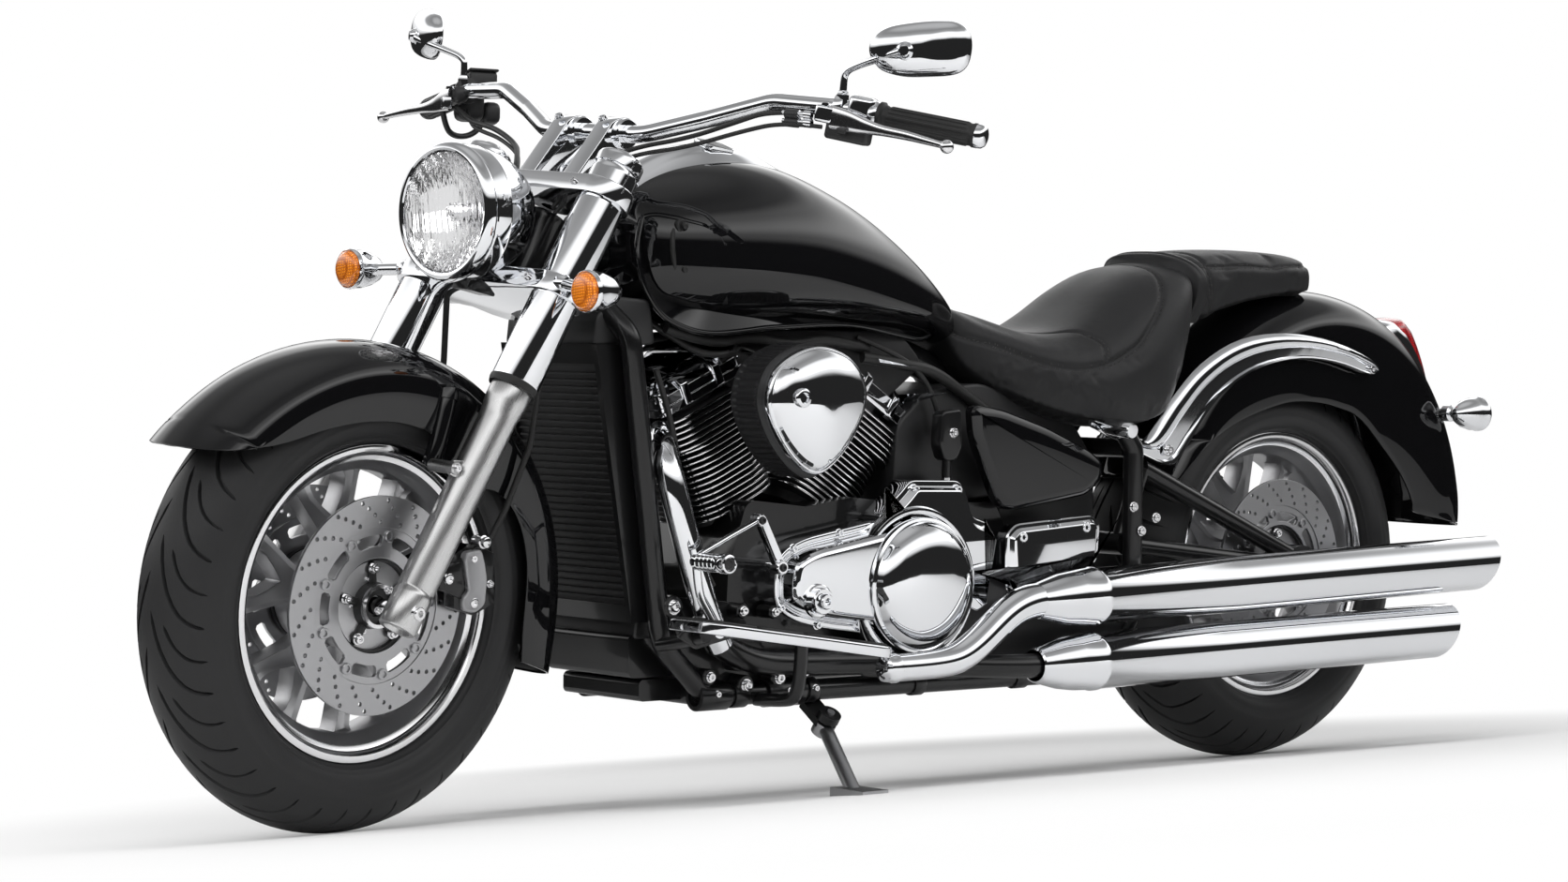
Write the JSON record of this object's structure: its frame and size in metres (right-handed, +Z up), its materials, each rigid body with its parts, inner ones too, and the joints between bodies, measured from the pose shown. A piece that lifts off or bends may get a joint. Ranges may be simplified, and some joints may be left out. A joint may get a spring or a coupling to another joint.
{
  "type": "cruiser motorcycle",
  "caption": "Cruiser motorcycle with a finned V-twin, deep fenders, dished seat and long chrome mufflers, parked leaning on its side stand.",
  "frame": {"origin": "on the floor under the centre of the bounding box of the parked machine", "axes": "+Z up, the front faces -Y, the rider's left is +X, towards which it leans on its side stand"},
  "size_m": [1.1619, 2.5833, 1.2538],
  "materials": {
    "amber_lens": "ribbed lens",
    "belt_rubber": "matt",
    "black_plastic": "fine grain",
    "brake_steel": "ground",
    "cast_aluminium": "machined lip, satin spokes",
    "cast_grey": "painted casting",
    "chrome": "mirror polished",
    "clear_glass": "fluted",
    "gloss_black": "deep gloss",
    "grip_rubber": "ribbed",
    "mirror_glass": "mirror",
    "radiator_black": "satin",
    "red_lens": "ribbed lens",
    "satin_aluminium": "brushed",
    "satin_black": "satin, fins machined bright",
    "seat_leather": "fine grain, stitched",
    "tyre_rubber": "matt, lightly grained"
  },
  "bodies": {
    "chassis": {"air_cleaner_body": "satin_black", "air_cleaner_cover": "chrome", "board_pads": "grip_rubber", "cylinders": "satin_black", "drive_belt": "belt_rubber", "engine_case": "satin_black", "fender_rails": "chrome", "floorboards": "chrome", "foot_pegs": "chrome", "frame_cradle": "gloss_black", "fuel_tank": "gloss_black", "gearbox_cover": "chrome", "headers": "chrome", "lower_boxes": "black_plastic", "mufflers": "chrome", "output_pulley": "satin_aluminium", "pillion_pad": "seat_leather", "primary_cover": "chrome", "radiator": "radiator_black", "radiator_shroud": "gloss_black", "rear_axle": "chrome", "rear_caliper": "cast_grey", "rear_fender": "gloss_black", "rear_indicators": "chrome", "rear_lenses": "red_lens", "rider_seat": "seat_leather", "right_covers": "chrome", "rocker_covers": "chrome", "side_covers": "gloss_black", "swingarm": "gloss_black", "tail_lamp": "red_lens", "tank_console": "chrome", "tool_covers": "chrome"},
    "fork": {"brake_hoses": "grip_rubber", "fork_clamps": "chrome", "fork_covers": "chrome", "fork_sliders": "satin_aluminium", "front_axle": "chrome", "front_calipers": "cast_grey", "front_fender": "gloss_black", "front_indicators": "chrome", "front_lenses": "amber_lens", "grips": "grip_rubber", "hand_levers": "satin_aluminium", "handlebar": "chrome", "headlight_bracket": "chrome", "headlight_lens": "clear_glass", "headlight_shell": "chrome", "mirror_glasses": "mirror_glass", "mirrors": "chrome", "risers": "chrome", "switch_housings": "black_plastic"},
    "front_wheel": {"front_discs": "brake_steel", "front_rim": "cast_aluminium", "front_tyre": "tyre_rubber"},
    "rear_wheel": {"drive_pulley": "satin_aluminium", "rear_disc": "brake_steel", "rear_rim": "cast_aluminium", "rear_tyre": "tyre_rubber"},
    "side_stand": {"side_stand": "satin_black"}
  },
  "joints": [
    {"name": "steering", "type": "hinge", "parent": "chassis", "child": "fork", "pos_m": [-0.01077, -0.65153, 0.79931], "axis": [0.1055, 0.4991, 0.8601], "range_deg": [-42, 28]},
    {"name": "front_wheel_spin", "type": "hinge", "parent": "fork", "child": "front_wheel", "pos_m": [-0.06542, -0.97011, 0.31886], "axis": [0.9777, 0.1057, -0.1813], "continuous": true},
    {"name": "rear_wheel_spin", "type": "hinge", "parent": "chassis", "child": "rear_wheel", "pos_m": [-0.06964, 0.81966, 0.3214], "axis": [0.9925, 0.0001, -0.1219], "continuous": true},
    {"name": "side_stand_fold", "type": "hinge", "parent": "chassis", "child": "side_stand", "pos_m": [0.06443, -0.22511, 0.09931], "axis": [0.6535, -0.0008, 0.7569], "range_deg": [0, 108]}
  ]
}
